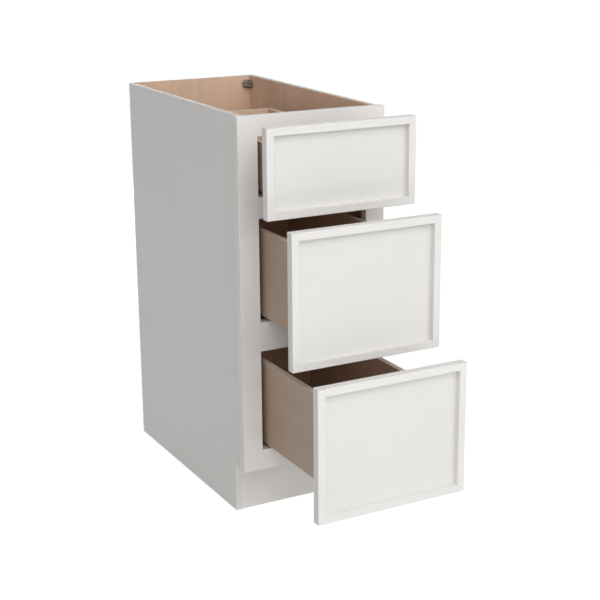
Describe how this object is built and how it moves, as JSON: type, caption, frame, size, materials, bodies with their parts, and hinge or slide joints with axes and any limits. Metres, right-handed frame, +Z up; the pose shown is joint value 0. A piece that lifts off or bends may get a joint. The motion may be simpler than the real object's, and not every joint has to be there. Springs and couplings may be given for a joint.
{
  "type": "base cabinet with drawers",
  "caption": "Tall narrow framed kitchen base cabinet with an open top, a toe space and stacked slim-framed drawers on hidden slides.",
  "frame": {"origin": "on the floor, on the centre line, in the plane of the back panel's rear face, which stands against the wall", "axes": "+Z up, -Y to the front where the drawers open, +Y into the wall, +X to the right-hand side seen from the front"},
  "size_m": [0.343, 0.9372, 0.8763],
  "materials": {
    "side_paint": "satin",
    "frame_paint": "satin",
    "front_paint": "satin",
    "panel_wood": "satin",
    "drawer_wood": "satin",
    "bracket_plastic": "matte",
    "clip_plastic": "matte",
    "slide_zinc": "satin",
    "screw_steel": "satin",
    "bumper_rubber": "matte"
  },
  "bodies": {
    "cabinet": {"side_panel_left": "side_paint", "side_panel_right": "side_paint", "back_panel": "panel_wood", "bottom_panel": "panel_wood", "toe_board": "side_paint", "frame_stile_left": "frame_paint", "frame_stile_right": "frame_paint", "frame_rail_top": "frame_paint", "frame_rail_upper": "frame_paint", "frame_rail_lower": "frame_paint", "frame_rail_bottom": "frame_paint", "corner_brackets": "bracket_plastic", "corner_bracket_screws": "screw_steel", "slide_rear_brackets": "bracket_plastic", "slide_screws": "screw_steel", "top_drawer_slide_rails": "slide_zinc", "middle_drawer_slide_rails": "slide_zinc", "bottom_drawer_slide_rails": "slide_zinc"},
    "top_drawer": {"top_drawer_box_side_left": "drawer_wood", "top_drawer_box_side_right": "drawer_wood", "top_drawer_box_front": "drawer_wood", "top_drawer_box_back": "drawer_wood", "top_drawer_box_bottom": "drawer_wood", "top_drawer_front_stiles": "front_paint", "top_drawer_front_rails": "front_paint", "top_drawer_front_panel": "front_paint", "top_drawer_front_screws": "screw_steel", "top_drawer_bumpers": "bumper_rubber", "top_drawer_slide_channels": "slide_zinc", "top_drawer_locking_clips": "clip_plastic"},
    "top_drawer_slide": {"top_drawer_slide_middles": "slide_zinc"},
    "middle_drawer": {"middle_drawer_box_side_left": "drawer_wood", "middle_drawer_box_side_right": "drawer_wood", "middle_drawer_box_front": "drawer_wood", "middle_drawer_box_back": "drawer_wood", "middle_drawer_box_bottom": "drawer_wood", "middle_drawer_front_stiles": "front_paint", "middle_drawer_front_rails": "front_paint", "middle_drawer_front_panel": "front_paint", "middle_drawer_front_screws": "screw_steel", "middle_drawer_bumpers": "bumper_rubber", "middle_drawer_slide_channels": "slide_zinc", "middle_drawer_locking_clips": "clip_plastic"},
    "middle_drawer_slide": {"middle_drawer_slide_middles": "slide_zinc"},
    "bottom_drawer": {"bottom_drawer_box_side_left": "drawer_wood", "bottom_drawer_box_side_right": "drawer_wood", "bottom_drawer_box_front": "drawer_wood", "bottom_drawer_box_back": "drawer_wood", "bottom_drawer_box_bottom": "drawer_wood", "bottom_drawer_front_stiles": "front_paint", "bottom_drawer_front_rails": "front_paint", "bottom_drawer_front_panel": "front_paint", "bottom_drawer_front_screws": "screw_steel", "bottom_drawer_bumpers": "bumper_rubber", "bottom_drawer_slide_channels": "slide_zinc", "bottom_drawer_locking_clips": "clip_plastic"},
    "bottom_drawer_slide": {"bottom_drawer_slide_middles": "slide_zinc"}
  },
  "joints": [
    {"name": "top_drawer_travel", "type": "slide", "parent": "cabinet", "child": "top_drawer", "axis": [0, -1, 0], "range_m": [-0.106, 0.402]},
    {"name": "top_drawer_slide_travel", "type": "slide", "parent": "cabinet", "child": "top_drawer_slide", "axis": [0, -1, 0], "range_m": [-0.053, 0.201]},
    {"name": "middle_drawer_travel", "type": "slide", "parent": "cabinet", "child": "middle_drawer", "axis": [0, -1, 0], "range_m": [-0.2065, 0.3015]},
    {"name": "middle_drawer_slide_travel", "type": "slide", "parent": "cabinet", "child": "middle_drawer_slide", "axis": [0, -1, 0], "range_m": [-0.10325, 0.15075]},
    {"name": "bottom_drawer_travel", "type": "slide", "parent": "cabinet", "child": "bottom_drawer", "axis": [0, -1, 0], "range_m": [-0.307, 0.201]},
    {"name": "bottom_drawer_slide_travel", "type": "slide", "parent": "cabinet", "child": "bottom_drawer_slide", "axis": [0, -1, 0], "range_m": [-0.1535, 0.1005]}
  ],
  "couplings": [
    {"joint": "top_drawer_slide_travel", "follows": "top_drawer_travel", "ratio": 0.5},
    {"joint": "middle_drawer_slide_travel", "follows": "middle_drawer_travel", "ratio": 0.5},
    {"joint": "bottom_drawer_slide_travel", "follows": "bottom_drawer_travel", "ratio": 0.5}
  ]
}
